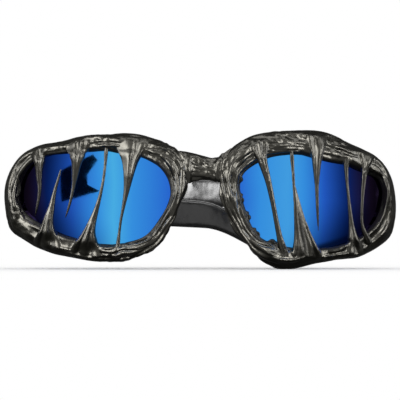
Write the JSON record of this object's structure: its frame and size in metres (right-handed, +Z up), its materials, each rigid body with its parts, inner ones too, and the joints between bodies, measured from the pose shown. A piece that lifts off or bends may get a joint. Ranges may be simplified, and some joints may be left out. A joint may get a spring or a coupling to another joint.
{
  "type": "sunglasses",
  "caption": "Wrap sunglasses with mirror lenses, a melted-looking glossy rim with strands across the lenses, and two folding temples with ear hooks.",
  "frame": {"origin": "middle of the bounding box on the ground, below the front with the temples folded", "axes": "+X to the wearer's left, the front faces -Y, +Z up as worn"},
  "size_m": [0.1499, 0.0609, 0.0528],
  "materials": {
    "melted_coat": "wet gloss, lumpy and ropey, gunmetal to olive black",
    "moulded_front": "glossy moulded black plastic",
    "mirror_lens": "blue mirror coating, cyan in the middle and violet towards the ends",
    "temple_plastic": "polished black plastic",
    "hinge_metal": "plain nickel-plated steel"
  },
  "bodies": {
    "front": {"front_frame": "moulded_front", "left_lens": "mirror_lens", "right_lens": "mirror_lens", "left_melt_coat": "melted_coat", "right_melt_coat": "melted_coat", "bridge_melt_coat": "melted_coat", "left_strand_1": "melted_coat", "left_strand_2": "melted_coat", "left_strand_3": "melted_coat", "left_strand_4": "melted_coat", "left_strand_5": "melted_coat", "left_strand_6": "melted_coat", "right_strand_1": "melted_coat", "right_strand_2": "melted_coat", "right_strand_3": "melted_coat", "right_strand_4": "melted_coat", "right_strand_5": "melted_coat", "left_front_leaf": "hinge_metal", "right_front_leaf": "hinge_metal", "left_hinge_screw": "hinge_metal", "right_hinge_screw": "hinge_metal", "front_rivets": "hinge_metal"},
    "left_temple": {"left_temple": "temple_plastic", "left_temple_leaf": "hinge_metal", "left_temple_rivets": "hinge_metal"},
    "right_temple": {"right_temple": "temple_plastic", "right_temple_leaf": "hinge_metal", "right_temple_rivets": "hinge_metal"}
  },
  "joints": [
    {"name": "right_temple_hinge", "type": "hinge", "parent": "front", "child": "right_temple", "pos_m": [-0.0675, 0.01174, 0.0252], "axis": [0.0645, 0, 0.9979], "range_deg": [0, 87]},
    {"name": "left_temple_hinge", "type": "hinge", "parent": "front", "child": "left_temple", "pos_m": [0.0675, 0.01174, 0.0252], "axis": [-0.0645, 0, -0.9979], "range_deg": [0, 82]}
  ],
  "couplings": [
    {"joint": "left_temple_hinge", "follows": "right_temple_hinge", "ratio": 0.9425}
  ]
}
